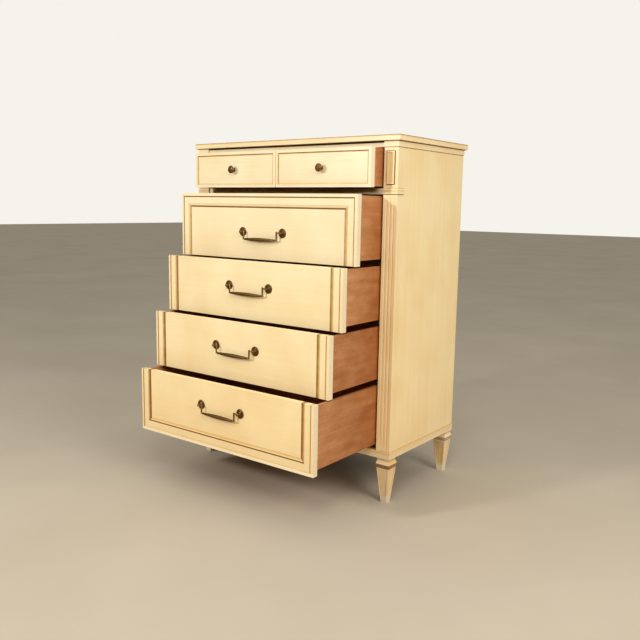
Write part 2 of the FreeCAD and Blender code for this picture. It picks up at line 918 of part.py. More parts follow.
def pull_posts(number):
    """Two rosettes, each with a stem that ends in an eye for the bail's pin."""
    seat, axis_y, z = pull_places(number)
    name = f"drawer_{number}_pull"
    x = S.pull_spacing / 2
    rim = rod(f"{name}_rim", -BACK, S.rosette_radius, S.rosette_rim_height, x, seat, z)
    dome = taper(
        f"{name}_dome", -BACK, S.rosette_dome_radius, S.stem_radius, S.rosette_dome_height,
        x, seat - S.rosette_rim_height, z,
    )
    stem = rod(f"{name}_stem", -BACK, S.stem_radius, S.pull_stand, x, seat, z)
    eye = ball(f"{name}_eye", S.eye_radius, x, axis_y, z)
    solid = fused(f"{name}_post_solid", [rim, dome, stem, eye])
    hole = rod(
        f"{name}_hole", -ACROSS, S.pin_radius + S.pin_clearance,
        S.eye_radius + S.pin_depth + S.overrun, x + S.pin_depth + S.pin_clearance, axis_y, z,
    )
    post = cut(f"{name}_post", solid, hole)
    keep(pair(f"{name}_posts", post), f"{name}_posts")


def bail(number):
    """Hanging handle: pins, shoulders, arms and a spindle grip."""
    seat, axis_y, z = pull_places(number)
    name = f"drawer_{number}_bail"
    pin_end = S.pull_spacing / 2 + S.pin_depth
    pin_start = S.pull_spacing / 2 - S.eye_radius - S.bail_shoulder_gap
    arm = S.pull_spacing / 2 - S.bail_arm_inset
    shoulder = z + S.bail_shoulder_rise
    grip = z - S.bail_drop
    wire = S.bail_wire_radius
    pin = rod(f"{name}_pin", ACROSS, S.pin_radius, pin_end - pin_start, pin_start, axis_y, z)
    elbow = ball(f"{name}_elbow", wire, pin_start, axis_y, z)
    run = pin_start - arm
    link = doc.addObject("Part::Cylinder", f"{name}_link")
    bind(link, Radius=wire)
    link.setExpression("Height", f"sqrt({run.text}^2 + {S.bail_shoulder_rise.text}^2)")
    place(link, pin_start, axis_y, z, FreeCAD.Rotation(-BACK, 1))
    link.setExpression(
        "Placement.Rotation.Angle", f"atan2({run.text}; {S.bail_shoulder_rise.text})"
    )
    crown = ball(f"{name}_crown", wire, arm, axis_y, shoulder)
    upright = rod(f"{name}_arm", UP, wire, shoulder - grip, arm, axis_y, grip)
    corner = ball(f"{name}_corner", wire, arm, axis_y, grip)
    neck = rod(f"{name}_neck", -ACROSS, wire, S.grip_neck_length, arm, axis_y, grip)
    collar_x = arm - S.grip_neck_length
    collar = rod(
        f"{name}_collar", -ACROSS, S.grip_collar_radius, S.grip_collar_length, collar_x, axis_y, grip
    )
    spindle = taper(
        f"{name}_spindle", ACROSS, S.grip_middle_radius, S.grip_end_radius,
        collar_x, sized(0), axis_y, grip,
    )
    half = fused(f"{name}_half", [pin, elbow, link, crown, upright, corner, neck, collar, spindle])
    keep(fused(name, [half, mirrored(f"{name}_other_half", half)]), name)


def build():
    """All sub-parts of the chest."""
    top_board()
    cornices()
    case_boards()
    front_posts()
    tablets()
    bands()
    base_moulding()
    legs()
    for number in range(1, len(LEVELS) + 1):
        dust_frame(number)
        drawer_front(number)
        drawer_box(number)
        if number == 1:
            knobs()
        else:
            pull_posts(number)
            bail(number)


def check_and_write():
    """Every object sound, every sub-part a valid shape, then one file for each."""
    doc.recompute()
    failed = [
        thing.Name for thing in doc.Objects if "Invalid" in thing.State or "Error" in thing.State
    ]
    if failed:
        raise ValueError(f"These objects failed: {failed}")
    for thing in nodes:
        if thing.Shape.isNull() or not thing.Shape.isValid() or not thing.Shape.Solids:
            raise ValueError(f"{thing.Label} has no sound shape")
    os.makedirs("parts", exist_ok=True)
    for thing in nodes:
        thing.Shape.exportStep(os.path.join("parts", f"{thing.Label}.step"))
        print(f"{thing.Label}: {len(thing.Shape.Solids)} solid(s), {thing.Shape.Volume:.0f} mm3")


build()
check_and_write()
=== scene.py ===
"""A cream lacquered highboy with antique brass pulls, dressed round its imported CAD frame."""

import json
import math

import bpy
from mathutils import Matrix, Vector

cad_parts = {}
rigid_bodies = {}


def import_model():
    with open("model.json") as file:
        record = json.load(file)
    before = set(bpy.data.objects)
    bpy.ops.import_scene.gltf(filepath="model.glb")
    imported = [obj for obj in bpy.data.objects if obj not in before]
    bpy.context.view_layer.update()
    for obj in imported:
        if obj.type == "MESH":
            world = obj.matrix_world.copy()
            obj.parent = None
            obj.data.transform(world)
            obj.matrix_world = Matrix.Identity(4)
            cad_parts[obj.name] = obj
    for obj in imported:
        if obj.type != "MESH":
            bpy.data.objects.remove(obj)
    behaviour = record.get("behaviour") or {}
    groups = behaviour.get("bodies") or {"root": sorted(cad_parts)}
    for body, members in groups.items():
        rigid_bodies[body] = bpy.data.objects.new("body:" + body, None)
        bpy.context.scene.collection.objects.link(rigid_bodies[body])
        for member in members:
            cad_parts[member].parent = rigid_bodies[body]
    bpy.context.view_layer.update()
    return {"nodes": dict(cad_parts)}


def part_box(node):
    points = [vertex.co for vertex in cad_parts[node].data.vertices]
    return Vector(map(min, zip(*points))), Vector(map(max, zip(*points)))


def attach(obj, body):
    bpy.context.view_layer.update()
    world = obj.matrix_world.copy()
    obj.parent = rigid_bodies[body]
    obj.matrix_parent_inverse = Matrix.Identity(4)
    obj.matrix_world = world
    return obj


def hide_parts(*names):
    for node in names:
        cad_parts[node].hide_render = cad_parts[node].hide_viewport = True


for leftover in list(bpy.data.objects):
    bpy.data.objects.remove(leftover)
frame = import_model()
NODES = frame["nodes"]
MM = 0.001
DRAWERS, WITH_HANDLES = range(1, 6), range(2, 6)


def middle_of(name):
    """The middle of a CAD node's box."""
    low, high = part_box(name)
    return (low + high) / 2


def half_of(name):
    """Half the size of a CAD node's box."""
    low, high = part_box(name)
    return (high - low) / 2


# Levels and places on the case, read from its nodes
RAIL_END, CASE_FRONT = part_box("front_post_right")[0].xy
TOP_UNDERSIDE, TOP_FACE = (corner.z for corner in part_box("top_board"))
CORNICE_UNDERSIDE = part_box("cornice_right")[0].z
BAND_FOOT, BAND_TOP = (corner.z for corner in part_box("band_right"))
BASE_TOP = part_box("base_front")[1].z
TABLET, TABLET_HALF = middle_of("tablet_right"), half_of("tablet_right")
FRONT_LEG, REAR_LEG = middle_of("leg_front_right"), middle_of("leg_rear_right")

# The posts: where the flutes end short of the band and the base, how far apart they stand, how deep
# the glazed face is, and how far back the level lines run along the side
FLUTE_STOP, FLUTE_SPACING = 11 * MM, 14 * MM
POST_FACE_DEPTH = 1.9 * MM
BAND_WRAP = 45.4 * MM

# The legs: the neck under the base, the gilt band, and the tapered shaft with its sunk panels
LEG_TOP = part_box("leg_front_right")[1].z
LEG_NECK = LEG_TOP - 8 * MM
GILT_TOP = LEG_TOP - 23 * MM
SHAFT_TOP, SHAFT_FOOT = LEG_TOP - 37.5 * MM, 5 * MM
SHAFT_HALF_TOP, SHAFT_HALF_FOOT = 25.2 * MM, 12.8 * MM
PANEL_TOP, PANEL_FOOT, PANEL_BORDER = SHAFT_TOP - 5 * MM, 26 * MM, 7 * MM
SCUFF_TOP = 30 * MM
# Between these depths the tones of the front legs give way to those of the rear legs: the painted
# shade on the front legs' sides fades out, the painted shade on the rear legs' front faces fades
# in, and the gilt thins
LEG_FADE = (CASE_FRONT - 46.8 * MM, CASE_FRONT + 153.2 * MM)

# Seams, mouldings and borders of the drawer fronts, measured in from the edges
QUIRK = 13 * MM
STEP = 39.7 * MM
SLOPE_START, SLOPE_END = 40.5 * MM, 49.5 * MM
SMALL_STEP = 11.9 * MM
SMALL_SLOPE_END = 15.5 * MM

# Width of a well rubbed arris and of a crisper one, and how far faces turn where an edge gets one
SOFT_ARRIS, FINE_ARRIS = 0.8 * MM, 0.5 * MM
ARRIS_TURN = math.radians(40)
# Corners closer than this are one corner that the CAD's triangles share
WELD_REACH = 0.01 * MM

# Number of the axis that a surface can face along
ACROSS, DEEP, UP = 0, 1, 2


# Nodes

def srgb(text):
    """The linear colour of an sRGB hex value."""
    parts = [int(text[i:i + 2], 16) / 255 for i in (1, 3, 5)]
    return (*(p / 12.92 if p <= 0.04045 else ((p + 0.055) / 1.055) ** 2.4 for p in parts), 1.0)


def socket(sockets, key):
    """The socket at a number, or the one in use that has a name."""
    if isinstance(key, int):
        return sockets[key]
    return next(s for s in sockets if s.enabled and s.name == key)


def add(tree, kind, inputs=None, out=None, **settings):
    """Adds a node with its settings, values and links, and gives its output."""
    node = tree.nodes.new(kind)
    for name, value in settings.items():
        setattr(node, name, value)
    for key, value in (inputs or {}).items():
        target = socket(node.inputs, key)
        if isinstance(value, bpy.types.NodeSocket):
            tree.links.new(value, target)
        else:
            target.default_value = value
    if out is not None:
        return socket(node.outputs, out)
    return next((s for s in node.outputs if s.enabled), None)


def parts_of(tree, vector):
    """The x, y and z of a vector."""
    return add(tree, "ShaderNodeSeparateXYZ", {0: vector}).node.outputs


def place_of(tree):
    """The surface's own place."""
    return add(tree, "ShaderNodeTexCoord", out="Object")


def start_material(name):
    """An empty node material, its tree and the surface's own place."""
    material = bpy.data.materials.new(name)
    material.use_nodes = True
    tree = material.node_tree
    tree.nodes.clear()
    return material, tree, place_of(tree)


def end_material(tree, **inputs):
    """The finish's shader. Underscores in the names stand for spaces."""
    shader = add(tree, "ShaderNodeBsdfPrincipled", {k.replace("_", " "): v for k, v in inputs.items()})
    add(tree, "ShaderNodeOutputMaterial", {"Surface": shader})


def maths(tree, operation, first, second=0.0, **settings):
    """One sum on two values."""
    return add(tree, "ShaderNodeMath", {0: first, 1: second}, operation=operation, **settings)


def folded(tree, operation, values):
    """One sum on all the values, taken one after another."""
    result = values[0]
    for value in values[1:]:
        result = maths(tree, operation, result, value)
    return result


def product(tree, masks):
    """The masks multiplied; a plain number among them is a strength."""
    return folded(tree, "MULTIPLY", masks)


def strongest(tree, masks):
    """At each point the strongest of the masks."""
    return folded(tree, "MAXIMUM", masks)


def least(tree, distances):
    """At each point the smallest of the distances."""
    return folded(tree, "MINIMUM", distances)


def less(tree, first, second):
    """One distance less another."""
    return maths(tree, "SUBTRACT", first, second)


def apart(tree, value, middle=0.0):
    """How far a value lies from a middle one, to either side."""
    return maths(tree, "ABSOLUTE", less(tree, value, middle))


def mixed(tree, share, first, second, data_type="RGBA", blend_type="MIX"):
    """The first colour or value, mixed with the second or tinted by it to that share."""
    inputs = {"Factor": share, "A": first, "B": second}
    return add(tree, "ShaderNodeMix", inputs, data_type=data_type, blend_type=blend_type)


def relief(tree, height, strength, depth):
    """A normal that follows the height as fine relief."""
    return add(tree, "ShaderNodeBump", {"Strength": strength, "Distance": depth, "Height": height})


def drawn_noise(tree, place, cell, detail=3.0):
    """Noise whose cell has the given size in millimetres along x, y and z."""
    scale = [1 / (side * MM) for side in cell]
    stretched = add(tree, "ShaderNodeVectorMath", {0: place, 1: scale}, operation="MULTIPLY")
    noise = {"Vector": stretched, "Scale": 1.0, "Detail": detail, "Roughness": 0.55}
    return add(tree, "ShaderNodeTexNoise", noise, out="Fac")


def spread(tree, value, low, high, to_low=0.0, to_high=1.0):
    """The part of a value between two limits, spread over a new range."""
    limits = {
        "Value": value, "From Min": low, "From Max": high, "To Min": to_low, "To Max": to_high,
    }
    return add(tree, "ShaderNodeMapRange", limits)


def ramp(tree, factor, stops):
    """A colour that runs through the given stops of place and hex colour."""
    node = add(tree, "ShaderNodeValToRGB", {0: factor}).node
    elements = node.color_ramp.elements
    while len(elements) < len(stops):
        elements.new(0.5)
    for element, (where, colour) in zip(elements, stops):
        element.position = where
        element.color = srgb(colour)
    return node.outputs[0]


# Masks

def stripe(tree, distance, middle, width, soft=0.5 * MM):
    """1 on a stripe of that width about that distance, 0 beside it."""
    away = apart(tree, distance, middle)
    limits = {"Value": away, "From Min": width / 2 + soft, "From Max": width / 2 - soft}
    return add(tree, "ShaderNodeMapRange", limits, interpolation_type="SMOOTHSTEP")


def beyond(tree, distance, start, soft=0.5 * MM):
    """1 where the distance is more than start, 0 where it is less."""
    limits = {"Value": distance, "From Min": start - soft, "From Max": start + soft}
    return add(tree, "ShaderNodeMapRange", limits, interpolation_type="SMOOTHSTEP")


def short_of(tree, distance, end, soft=0.5 * MM):
    """1 where the distance is less than end, 0 where it is more."""
    return beyond(tree, less(tree, end, distance), 0.0, soft)


def facing(tree, axis):
    """1 where the surface faces along that axis, 0 where it turns away from it."""
    squarely, soft = 0.8, 0.12
    normal = add(tree, "ShaderNodeNewGeometry", out="Normal")
    return beyond(tree, apart(tree, parts_of(tree, normal)[axis]), squarely, soft)


def level_lines(tree, z, lines):
    """Glaze lines that run level round the case: (height, width, strength) each."""
    return strongest(tree, [
        product(tree, [stripe(tree, z, height, width), strength]) for height, width, strength in lines
    ])


# Cream lacquer

# Sizes in millimetres along x, y and z: of fine and broad strokes, of clouds in the cream, and of
# patches in the glaze lines
UPRIGHT = ((2.4, 2.4, 260), (15, 15, 900))
LENGTHWISE = ((260, 2.4, 2.4), (800, 14, 14))
CLOUDS, PATCHES = (170, 170, 230), (26, 9, 26)
# Glaze that fine and broad strokes left behind at most, and its tint by how thick it lies
FINE_FILM, BROAD_FILM = 0.10, 0.07
GLAZE_FILM = (
    (0.0, "#FFFFFF"), (0.12, "#F9EFDB"), (0.3, "#E8D5B0"), (0.6, "#B29662"), (1.0, "#7E5822"),
)
# Painted light by height: the lacquer is tinted warmer and darker near the floor and paler and
# whiter higher up, standing for how the light falls off down the chest. Its tints from the lower
# height to the upper one, in metres
HEIGHT_LIGHT_FROM, HEIGHT_LIGHT_TO = 0.1, 1.25
HEIGHT_LIGHT_TINTS = (
    (0.07, "#F5E8CC"), (0.18, "#FEF0D2"), (0.38, "#FFF8E2"), (0.57, "#FFFAE6"), (0.77, "#FFFCF0"),
    (0.96, "#FFFEF6"),
)
# The two tones of the cream's clouds on each kind of part. All parts share one paint; their tones
# differ a little as painted light, standing for how the light falls on each.
CREAM = ("#F6E9CB", "#F1DFBC")
SIDE_CREAM = ("#FAE8BE", "#F4DCA9")
TRIM_CREAM = ("#F8E9C8", "#F4DFB8")
POST_CREAM = ("#F9E8C5", "#F3DCB0")
TABLET_CREAM = ("#F4E4BD", "#F0DAB4")
LEG_CREAM = ("#FCEBCC", "#F6E0BC")
# What lies over the lacquer: pale scuffs and thin coats, painted highlights along edges that catch the
# light, and gilt
OVER_LACQUER = {"worn": "#EADFC8", "painted_highlight": "#FFF6DC", "gilt": "#7F4A08"}


def strokes_and_film(tree, place, strokes, masks, streak):
    """The fine brush strokes, and how thick the glaze lies: in streaks, and most in the lines."""
    fine = drawn_noise(tree, place, strokes[0])
    broad = drawn_noise(tree, place, strokes[1], 2.0)
    if "upright" in masks:
        fine = mixed(tree, masks["upright"], fine, drawn_noise(tree, place, UPRIGHT[0]), "FLOAT")
    film = maths(
        tree, "ADD", spread(tree, fine, 0.42, 0.78, 0.0, FINE_FILM * streak),
        spread(tree, broad, 0.40, 0.75, 0.0, BROAD_FILM * streak),
    )
    patchy = spread(tree, drawn_noise(tree, place, PATCHES), 0.3, 0.62, 0.78, 1.0)
    return fine, maths(tree, "ADD", film, product(tree, [masks["lines"], patchy]))


def cream_lacquer(name, strokes, glaze, cream=CREAM, streak=1.0, height_light=1.0):
    """Sprayed cream lacquer, brushed over with umber glaze that was wiped off along the strokes,
    under a satin topcoat. The eye sees a warm cream with fine long streaks, and brown lines where
    the glaze stayed in quirks and corners. A stroke of 0.5 mm is drawn 2.4 mm wide to show.
    glaze gives the masks of the glaze lines, some partly painted shade, of strokes that turn upright
    and of what lies over the lacquer, painted highlights among it. streak is the strength of the
    strokes, height_light the share of the painted light by height."""
    material, tree, place = start_material(name)
    x, y, z = parts_of(tree, place)
    masks = glaze(tree, x, y, z)
    fine, film = strokes_and_film(tree, place, strokes, masks, streak)
    cloud = spread(tree, drawn_noise(tree, place, CLOUDS, 2.0), 0.35, 0.68)
    colour = ramp(tree, cloud, ((0.0, cream[0]), (1.0, cream[1])))
    # Painted light by height: warmer and darker low, paler and whiter high
    height_light_tint = ramp(tree, spread(tree, z, HEIGHT_LIGHT_FROM, HEIGHT_LIGHT_TO), HEIGHT_LIGHT_TINTS)
    for share, tint in ((height_light, height_light_tint), (1.0, ramp(tree, film, GLAZE_FILM))):
        colour = mixed(tree, share, colour, tint, blend_type="MULTIPLY")
    for kind, laid in OVER_LACQUER.items():
        if kind in masks:
            colour = mixed(tree, masks[kind], colour, srgb(laid))
    end_material(
        tree, Base_Color=colour, Normal=relief(tree, fine, 0.35, 0.05 * MM), IOR=1.5,
        Roughness=spread(tree, film, 0.0, 0.9, 0.40, 0.58), Coat_Weight=0.25, Coat_Roughness=0.24,
    )
    return material


def panel_glaze(tree, x, y, z):
    """Lines under the cornice and over the base, on the side panels and rails."""
    lines = ((CORNICE_UNDERSIDE, 2.6 * MM, 0.55), (BASE_TOP, 2.4 * MM, 0.25))
    return {"lines": level_lines(tree, z, lines)}


def rail_glaze_and_shade(tree, x, y, z):
    """The same lines, and painted shade along the rail under the top drawer, where the drawer's front
    shades it, but not at its ends."""
    inside = short_of(tree, apart(tree, x), RAIL_END - 33 * MM, 14 * MM)
    # Painted shade along the rail under the top drawer
    painted_shade_under_drawer = level_lines(tree, z, [(BAND_TOP - 2 * MM, 20 * MM, 0.7)])
    lines = panel_glaze(tree, x, y, z)["lines"]
    return {"lines": strongest(tree, [lines, product(tree, [painted_shade_under_drawer, inside])])}


def top_glaze(tree, x, y, z):
    """A darker band round the top board's upper edge, and a dark line under the board, partly glaze
    and partly painted shade where the board overhangs the cornice.
    """
    rim = strongest(tree, [
        product(tree, [beyond(tree, z, TOP_FACE - 3.2 * MM), 0.62]),
        product(tree, [beyond(tree, z, TOP_FACE - 5.8 * MM), 0.2]),
    ])
    glaze_and_shade_under = level_lines(tree, z, [(TOP_UNDERSIDE, 2.2 * MM, 0.8)])
    off_the_face = less(tree, 1.0, facing(tree, UP))
    return {"lines": strongest(tree, [glaze_and_shade_under, product(tree, [rim, off_the_face])])}


def moulding_glaze(tree, x, y, z):
    """Lines above and below the cornice, the bands and the base moulding."""
    bead = 8.8 * MM
    lines = (
        # The line under the top board is partly glaze and partly painted shade where the board
        # overhangs the cornice
        (TOP_UNDERSIDE, 3.2 * MM, 0.95), (CORNICE_UNDERSIDE, 2.0 * MM, 0.5),
        (BAND_TOP, 1.8 * MM, 0.35), (BAND_TOP - bead, 1.4 * MM, 0.22),
        (BAND_FOOT + bead, 1.4 * MM, 0.22), (BAND_FOOT, 2.2 * MM, 0.55),
        (BASE_TOP, 2.0 * MM, 0.3), (BASE_TOP - 6 * MM, 1.6 * MM, 0.3),
    )
    return {"lines": level_lines(tree, z, lines)}


def into_tablet(tree, x, z):
    """How far in from the tablet's edge a point lies, and below 0 outside it."""
    return least(tree, [
        less(tree, TABLET_HALF.x, apart(tree, apart(tree, x), TABLET.x)),
        less(tree, TABLET_HALF.z, apart(tree, z, TABLET.z)),
    ])


def tablet_glaze(tree, x, y, z):
    """Brown outline of the tablet, its border's inner line and its sunk field."""
    inward = into_tablet(tree, x, z)
    return {"lines": strongest(tree, [
        stripe(tree, inward, 0.0, 3.4 * MM, 0.9 * MM),
        product(tree, [stripe(tree, inward, 6.5 * MM, 1.3 * MM), 0.2]),
        product(tree, [beyond(tree, inward, 5.0 * MM, 1.5 * MM), 0.12]),
    ])}


def flute_glaze(tree, x, z):
    """Glaze left along the outer flutes, and the whole fluted length made faintly darker."""
    streaks = [
        product(tree, [stripe(tree, apart(tree, x), middle - 1.2 * MM, 2.6 * MM, 1.6 * MM), strength])
        for middle, strength in ((TABLET.x - FLUTE_SPACING, 0.03), (TABLET.x + FLUTE_SPACING, 0.05))
    ]
    above_base = beyond(tree, z, BASE_TOP + FLUTE_STOP, 1.5 * MM)
    under_band = short_of(tree, z, BAND_FOOT - FLUTE_STOP, 1.5 * MM)
    return product(tree, [strongest(tree, [*streaks, 0.03]), above_base, under_band])


def post_glaze(tree, x, y, z):
    """Glaze left in the flutes, round the tablet and beside the bands."""
    face = short_of(tree, y, CASE_FRONT + POST_FACE_DEPTH, 0.1 * MM)
    wrapped = short_of(tree, y, CASE_FRONT + BAND_WRAP)
    round_tablet = stripe(tree, into_tablet(tree, x, z), -0.3 * MM, 1.6 * MM)
    levels = level_lines(tree, z, (
        (CORNICE_UNDERSIDE, 2.0 * MM, 0.5), (BAND_TOP + 0.4 * MM, 1.6 * MM, 0.5),
        (BAND_FOOT - 0.6 * MM, 2.2 * MM, 0.75), (BASE_TOP, 2.2 * MM, 0.35),
    ))
    return {"lines": strongest(tree, [
        product(tree, [flute_glaze(tree, x, z), face]),
        product(tree, [round_tablet, 0.75, face]),
        product(tree, [levels, wrapped]),
    ])}


# The framed sides of each large front: one frame runs round all four fronts together
FRAMED = {
    2: ("left", "right", "top"), 3: ("left", "right"), 4: ("left", "right"),
    5: ("left", "right", "bottom"),
}
# Strength of the glaze on each side of a large front's frame: over the slope, at its inner line and
# in the quirk near the edge, and how far in the last two lie. The left slope and the top lines are
# strong partly as painted shade, where the light from the upper left leaves them dark; the rest is
# glaze.
LARGE_LINES = {
    "left": (0.95, 0.4, 0.9, SLOPE_END - 1.5 * MM, 10.8 * MM),
    "right": (0.55, 0.8, 0.65, SLOPE_END + 1.4 * MM, QUIRK),
    "top": (0.12, 1.3, 1.2, SLOPE_END, QUIRK),
    "bottom": (0.12, 0.3, 0.08, SLOPE_END + 0.7 * MM, QUIRK),
}
# The upright slopes of lower fronts are darker, and there the darkening also starts this much
# farther out
SLOPE_GLAZE = {2: 0.72, 3: 0.95, 4: 1.15, 5: 1.3}
UPRIGHT_RUN = 4.0 * MM
# How far in and how wide the lines of the top drawer's panels are, at the step, on the slope and at
# its inner line, and their strengths on each side. The left and top lines are stronger partly as
# painted shade, from the light falling from the upper left.
SMALL_PLACES = (
    (SMALL_STEP + 0.4 * MM, 2.8 * MM), (SMALL_STEP + 2 * MM, 3.4 * MM), (SMALL_SLOPE_END, 1.5 * MM),
)
SMALL_LINES = {
    "left": (0.75, 0.5, 0.5),
    "right": (0.3, 0.12, 0.35),
    "top": (0.95, 0.4, 0.3),
    "bottom": (0.35, 0.15, 0.25),
}


def end_grain(tree):
    """The ends of a front, which took a thinner and paler coat."""
    return product(tree, [facing(tree, ACROSS), 0.6])


def specks(tree):
    """Small brown specks where the coat on the ends of a front is worn through."""
    grain = drawn_noise(tree, place_of(tree), (5, 5, 8), 2.0)
    return product(tree, [facing(tree, ACROSS), spread(tree, grain, 0.5, 0.68), 0.3])


def painted_highlight_strip(tree, height, middle, width, strength):
    """A level strip of painted highlight on the face of a front, along an edge that catches the light.
    """
    strip = stripe(tree, height, middle, width, 1.5 * MM)
    return product(tree, [strip, facing(tree, DEEP), strength])


def edge_distances(tree, x, z, low, high, sides):
    """Distance in from each named edge of a front."""
    ends = {"left": (x, low.x), "right": (high.x, x), "top": (high.z, z), "bottom": (z, low.z)}
    return {side: less(tree, *ends[side]) for side in sides}


def frame_glaze(tree, side, distance, nearest, more):
    """The glaze on one side of a large front's frame, up to its mitres."""
    slope, inner, quirk, inner_place, quirk_place = LARGE_LINES[side]
    upright = side in ("left", "right")
    start = SLOPE_START - UPRIGHT_RUN if upright else SLOPE_START
    sloped = product(tree, [
        stripe(tree, distance, (start + SLOPE_END) / 2, SLOPE_END - start, 1.2 * MM),
        spread(tree, distance, start, SLOPE_END - 3.0 * MM, 0.3, 1.0), slope,
    ])
    corner = product(tree, [stripe(tree, distance, inner_place, 5.2 * MM, 0.9 * MM), inner])
    both = product(tree, [strongest(tree, [sloped, corner]), more if upright else 1.0])
    sunk = product(tree, [stripe(tree, distance, quirk_place, 4.0 * MM, 0.8 * MM), quirk])
    mitred = beyond(tree, less(tree, nearest, distance), -0.8 * MM, 0.8 * MM)
    return product(tree, [strongest(tree, [both, sunk]), mitred])


def large_front_glaze(low, high, sides, more):
    """The glaze lines of a large drawer front, whose frame runs on from drawer to drawer, and the
    painted highlight along the lowest front's bottom edge.
    """
    def glaze(tree, x, y, z):
        edges = edge_distances(tree, x, z, low, high, sides)
        nearest = least(tree, list(edges.values()))
        marks = [frame_glaze(tree, side, edges[side], nearest, more) for side in sides]
        stile = short_of(tree, least(tree, [edges["left"], edges["right"]]), STEP, 1.0 * MM)
        masks = {"upright": stile, "worn": end_grain(tree)}
        if "bottom" in sides:
            seam = stripe(tree, edges["bottom"], STEP + 1.3 * MM, 3.6 * MM)
            inside = beyond(tree, nearest, STEP - 2.0 * MM)
            marks.append(product(tree, [seam, inside, 1.7]))
            # Painted highlight along the bottom edge of the lowest front
            masks["painted_highlight"] = painted_highlight_strip(tree, edges["bottom"], 5.0 * MM, 10 * MM, 0.42)
        return {"lines": strongest(tree, [specks(tree), *marks]), **masks}
    return glaze


def small_front_glaze(low, high):
    """The glaze lines of the top drawer's two panels, the seam between them, and a painted highlight
    along its bottom edge.
    """
    def glaze(tree, x, y, z):
        wide = (high.x - low.x) / 2
        across = maths(tree, "FLOORED_MODULO", less(tree, x, low.x), wide)
        edges = edge_distances(tree, x, z, low, high, ("top", "bottom"))
        edges |= {"left": across, "right": less(tree, wide, across)}
        inside = beyond(tree, least(tree, list(edges.values())), SMALL_STEP - 1.0 * MM)
        panels = strongest(tree, [
            product(tree, [stripe(tree, edges[side], middle, width), strength])
            for side, strengths in SMALL_LINES.items()
            for (middle, width), strength in zip(SMALL_PLACES, strengths)
        ])
        seam = product(tree, [stripe(tree, x, (low.x + high.x) / 2, 2.0 * MM), 0.4])
        return {
            "lines": strongest(tree, [specks(tree), seam, product(tree, [panels, inside])]),
            # Painted highlight along the bottom edge of the top drawer's front
            "worn": end_grain(tree), "painted_highlight": painted_highlight_strip(tree, z, low.z, 8 * MM, 0.85),
        }
    return glaze


def into_leg(tree, x, y, z):
    """How far in from the edges of its faces a point on a tapered leg lies."""
    half = spread(tree, z, SHAFT_FOOT, SHAFT_TOP, SHAFT_HALF_FOOT, SHAFT_HALF_TOP)
    between, reach = (REAR_LEG.y + FRONT_LEG.y) / 2, (REAR_LEG.y - FRONT_LEG.y) / 2
    return strongest(tree, [
        less(tree, half, apart(tree, apart(tree, x), FRONT_LEG.x)),
        less(tree, half, apart(tree, apart(tree, y, between), reach)),
    ])


def gilt_band(tree, y, z):
    """The gilt band round a leg, slightly patchy, and dimmer on the rear legs."""
    patches = drawn_noise(tree, place_of(tree), (7, 7, 7))
    return product(tree, [
        stripe(tree, z, (GILT_TOP + SHAFT_TOP) / 2, GILT_TOP - SHAFT_TOP),
        spread(tree, patches, 0.3, 0.45, 0.92, 1.0), spread(tree, y, *LEG_FADE, 1.0, 0.6),
    ])


def leg_glaze(tree, x, y, z):
    """Glaze on a leg's neck and sunk panels; painted shade on the sides of the front legs, darker
    towards the neck, and on the front faces of the rear legs; its gilt band, and pale scuffs at its
    foot.
    """
    inward = into_leg(tree, x, y, z)
    panel = product(tree, [
        strongest(tree, [
            product(tree, [stripe(tree, inward, PANEL_BORDER, 1.8 * MM), 0.4]),
            product(tree, [beyond(tree, inward, PANEL_BORDER - 0.5 * MM), 0.05]),
            # Painted shade on the front faces of the rear legs, under the case
            product(tree, [facing(tree, DEEP), spread(tree, y, *LEG_FADE, 0.0, 0.28)]),
        ]),
        beyond(tree, z, PANEL_FOOT, 1.0 * MM), short_of(tree, z, PANEL_TOP, 1.0 * MM),
    ])
    # Painted shade on the sides of the front legs, darker towards the neck under the base
    side = product(tree, [
        facing(tree, ACROSS), spread(tree, y, *LEG_FADE, 1.0, 0.0),
        spread(tree, z, SHAFT_TOP, LEG_NECK, 0.17, 0.36),
    ])
    levels = level_lines(tree, z, (
        (LEG_NECK, 1.8 * MM, 0.6), (PANEL_FOOT, 1.6 * MM, 0.35), (PANEL_TOP, 1.8 * MM, 0.3),
        (LEG_TOP, 2.0 * MM, 0.6),
    ))
    scuffs = spread(tree, drawn_noise(tree, place_of(tree), (9, 9, 14), 4.0), 0.38, 0.56)
    return {
        "lines": strongest(tree, [panel, side, levels]), "gilt": gilt_band(tree, y, z),
        "worn": product(tree, [short_of(tree, z, SCUFF_TOP, 14 * MM), 0.85, scuffs]),
    }


# Wood

# Tones of the stain, of the same stain painted paler where the light falls on it, and of the raw woods
STAIN = ((0.0, "#925020"), (0.5, "#9C5B2A"), (1.0, "#A66732"))
STAIN_PAINTED_LIT = ((0.0, "#B57848"), (0.5, "#C08656"), (1.0, "#CA9565"))
PORE = "#6A3518"
PLYWOOD = ((0.0, "#8C6A48"), (0.5, "#9A7852"), (1.0, "#A8875F"))
# The dust frames' tones, darker than raw poplar as painted shade for the deep shade inside the case
POPLAR_IN_PAINTED_SHADE = ((0.0, "#4E3826"), (0.5, "#5E4530"), (1.0, "#6E543B"))
# How strongly each drawer's box is painted paler at its front end, as painted light; towards the case
# it darkens as painted shade
BOX_PAINTED_LIGHT = {1: 0.85, 2: 0.95, 3: 1.1, 4: 0.6, 5: 0.8}


